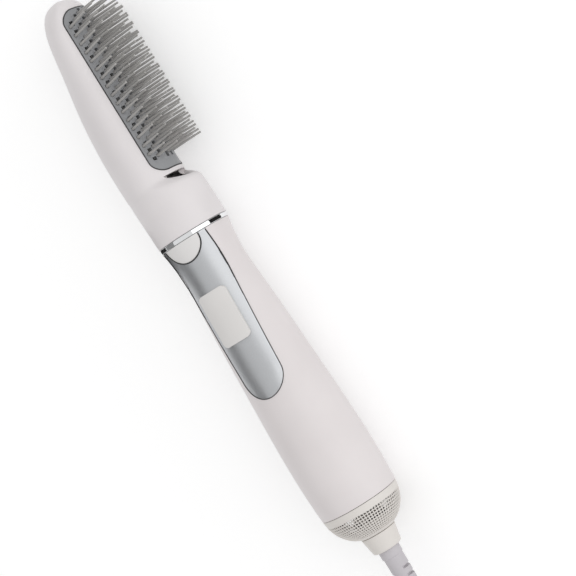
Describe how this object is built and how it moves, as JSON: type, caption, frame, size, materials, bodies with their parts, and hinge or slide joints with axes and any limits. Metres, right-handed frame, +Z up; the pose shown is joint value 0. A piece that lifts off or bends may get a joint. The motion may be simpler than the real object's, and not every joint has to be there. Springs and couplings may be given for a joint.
{
  "type": "hot air brush",
  "caption": "Slim hot air brush with a slide-off pin brush head, release button, slide switch, axial fan and a swivelling mains cord.",
  "frame": {"origin": "on the surface that the brush lies on, under the middle of the brush without its cord", "axes": "+X along the handle towards the cord, +Y the way the pins point, +Z up, the way the control panel faces"},
  "size_m": [0.6193, 0.0615, 0.045],
  "materials": {
    "white_shell": "satin moulded white",
    "grey_plate": "satin moulded grey",
    "grey_pins": "satin flexible nylon",
    "heatproof": "dull heat-proof moulding",
    "rubber_seal": "soft black",
    "brown_board": "pressed board",
    "steel": "plain",
    "chrome_trim": "mirror-bright plating",
    "silver_panel": "silver metallic lacquer",
    "white_button": "satin moulded white",
    "white_switch": "satin off-white",
    "black_plastic": "plain black",
    "mica": "pressed mica",
    "heater_wire": "drawn wire",
    "brass_parts": "plain",
    "cream_cap": "satin cream",
    "filter_mesh": "fine mesh",
    "boot_rubber": "soft pale grey",
    "cord_jacket": "smooth pale grey",
    "tie_strap": "woven strap"
  },
  "bodies": {
    "root": {"chrome_ring": "chrome_trim", "outlet_spigot": "heatproof", "handle_shell": "white_shell", "control_panel": "silver_panel", "button_springs": "steel", "switch_body": "black_plastic", "circuit_board": "brown_board", "mica_sleeve": "mica", "mica_board_upright": "mica", "mica_board_flat": "mica", "heater_coil": "heater_wire", "thermostat": "heater_wire", "thermal_fuse": "steel", "stator": "heatproof", "motor_can": "steel", "motor_bearings": "brass_parts", "motor_bracket": "heatproof", "damping_rings": "rubber_seal", "end_cap": "cream_cap", "intake_filter": "filter_mesh", "cord_lead": "cord_jacket", "cord_tail": "cord_jacket", "cord_hank": "cord_jacket", "cord_tie": "tie_strap", "plug_body": "cord_jacket", "plug_pins": "brass_parts"},
    "head": {"head_shell": "white_shell", "bristle_plate": "grey_plate", "bristle_strips": "grey_pins", "air_plate": "heatproof", "head_collar": "heatproof", "head_gasket": "rubber_seal", "vent_baffle": "brown_board", "head_screws": "steel"},
    "button": {"release_button": "white_button"},
    "switch": {"switch_cap": "white_switch", "switch_slider": "black_plastic"},
    "fan": {"impeller": "black_plastic", "motor_shaft": "steel"},
    "swivel": {"swivel_neck": "cream_cap", "swivel_retainer": "black_plastic", "cord_clamp": "black_plastic", "clamp_screws": "steel", "strain_relief": "boot_rubber"}
  },
  "joints": [
    {"name": "head_pull", "type": "slide", "parent": "root", "child": "head", "axis": [-1, 0, 0], "range_m": [0, 0.035]},
    {"name": "button_press", "type": "slide", "parent": "root", "child": "button", "axis": [0, 0, -1], "range_m": [0, 0.0012], "stiffness_N_per_m": 900, "springref_m": -0.0006, "deforming": ["button_springs"]},
    {"name": "switch_slide", "type": "slide", "parent": "root", "child": "switch", "axis": [0.9981, 0, 0.0611], "range_m": [-0.0045, 0.0045]},
    {"name": "fan_spin", "type": "hinge", "parent": "root", "child": "fan", "pos_m": [0.059, -0.00325, 0.0225], "axis": [1, 0, 0], "continuous": true},
    {"name": "cord_swivel", "type": "hinge", "parent": "root", "child": "swivel", "pos_m": [0.1365, -0.00325, 0.0225], "axis": [1, 0, 0], "continuous": true}
  ]
}
